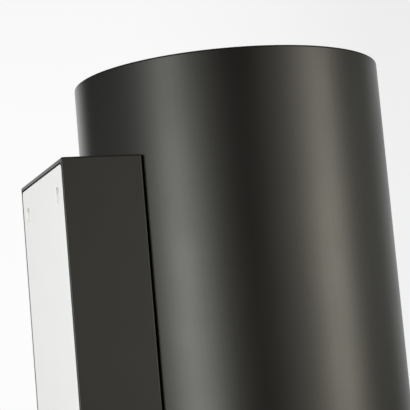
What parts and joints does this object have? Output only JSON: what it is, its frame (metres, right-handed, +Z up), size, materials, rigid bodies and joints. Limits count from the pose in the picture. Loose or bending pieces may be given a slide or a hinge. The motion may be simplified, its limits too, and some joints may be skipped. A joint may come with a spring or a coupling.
{
  "type": "tube wall light",
  "caption": "Up-and-down wall light: a dark round tube on a slim hollow-fronted box with an inset wall plate, a twist-lock lamp and a clamped glass in each end.",
  "frame": {"origin": "centre of the wall plate's back face, on the wall plane", "axes": "+Z up along the tube; +Y into the wall; the tube stands out from the wall towards -Y; X along the wall"},
  "size_m": [0.1, 0.1147, 0.24],
  "materials": {
    "tube_finish": "extruded tube, dark grey-bronze anodised, satin",
    "box_finish": "folded sheet, dark grey-bronze anodised, satin",
    "plate_metal": "near-white lacquered steel sheet, satin",
    "bracket_steel": "zinc-plated sheet",
    "screw_steel": "zinc-plated, satin",
    "black_steel": "blackened, satin",
    "black_rubber": "matt",
    "clear_silicone": "matt, milky",
    "brass": "turned",
    "ivory_plastic": "matt moulded",
    "ceramic": null,
    "seat_metal": "turned and black anodised",
    "ring_metal": "turned and black anodised",
    "baffle_black": "matt black",
    "clear_glass": "clear, polished",
    "lamp_shell": "satin white-silver",
    "lamp_lens": "prismatic, frosted",
    "nickel": "nickel-plated",
    "brown_lead": "satin silicone sleeve",
    "blue_lead": "satin silicone sleeve",
    "earth_lead": "satin silicone sleeve, green and yellow"
  },
  "bodies": {
    "housing": {"tube_body": "tube_finish", "wall_box": "box_finish", "saddle_gasket": "black_rubber", "wall_plate": "plate_metal", "cover_screws": "black_steel", "body_screws": "screw_steel", "saddle_washers": "screw_steel", "bracket_nuts": "screw_steel", "lead_grommet": "black_rubber", "cable_grommet": "black_rubber", "terminal_block": "ivory_plastic", "terminal_contacts": "brass", "terminal_screws": "screw_steel", "block_screws": "screw_steel", "earth_screw": "screw_steel", "earth_nut": "screw_steel", "earth_ring": "nickel", "holder_screws": "screw_steel", "holder_nuts": "screw_steel", "upper_live_lead": "brown_lead", "lower_live_lead": "brown_lead", "upper_neutral_lead": "blue_lead", "lower_neutral_lead": "blue_lead", "earth_lead": "earth_lead", "upper_bracket": "bracket_steel", "upper_holder": "ceramic", "upper_holder_contacts": "nickel", "upper_seat_ring": "seat_metal", "upper_baffle": "baffle_black", "lower_bracket": "bracket_steel", "lower_holder": "ceramic", "lower_holder_contacts": "nickel", "lower_seat_ring": "seat_metal", "lower_baffle": "baffle_black"},
    "upper_lens_unit": {"upper_glass": "clear_glass", "upper_glass_gasket": "clear_silicone"},
    "upper_ring": {"upper_clamp_ring": "ring_metal"},
    "upper_lamp": {"upper_lamp_body": "lamp_shell", "upper_lamp_lens": "lamp_lens", "upper_lamp_pins": "nickel"},
    "lower_lens_unit": {"lower_glass": "clear_glass", "lower_glass_gasket": "clear_silicone"},
    "lower_ring": {"lower_clamp_ring": "ring_metal"},
    "lower_lamp": {"lower_lamp_body": "lamp_shell", "lower_lamp_lens": "lamp_lens", "lower_lamp_pins": "nickel"}
  },
  "joints": [
    {"name": "upper_glass_lift", "type": "slide", "parent": "housing", "child": "upper_lens_unit", "axis": [0, 0, 1], "range_m": [0, 0.0051]},
    {"name": "upper_ring_turn", "type": "hinge", "parent": "upper_lens_unit", "child": "upper_ring", "pos_m": [0, -0.06471, 0.109], "axis": [0, 0, 1], "range_deg": [0, 900]},
    {"name": "upper_lamp_twist", "type": "hinge", "parent": "housing", "child": "upper_lamp", "pos_m": [0, -0.06471, 0.0422], "axis": [0, 0, 1], "range_deg": [0, 30]},
    {"name": "lower_glass_lift", "type": "slide", "parent": "housing", "child": "lower_lens_unit", "axis": [0, 0, -1], "range_m": [0, 0.0051]},
    {"name": "lower_ring_turn", "type": "hinge", "parent": "lower_lens_unit", "child": "lower_ring", "pos_m": [0, -0.06471, -0.109], "axis": [0, 0, -1], "range_deg": [0, 900]},
    {"name": "lower_lamp_twist", "type": "hinge", "parent": "housing", "child": "lower_lamp", "pos_m": [0, -0.06471, -0.0422], "axis": [0, 0, -1], "range_deg": [0, 30]}
  ],
  "couplings": [
    {"joint": "upper_glass_lift", "follows": "upper_ring_turn", "m_per_rad": 0.00031831},
    {"joint": "lower_glass_lift", "follows": "lower_ring_turn", "m_per_rad": 0.00031831}
  ]
}
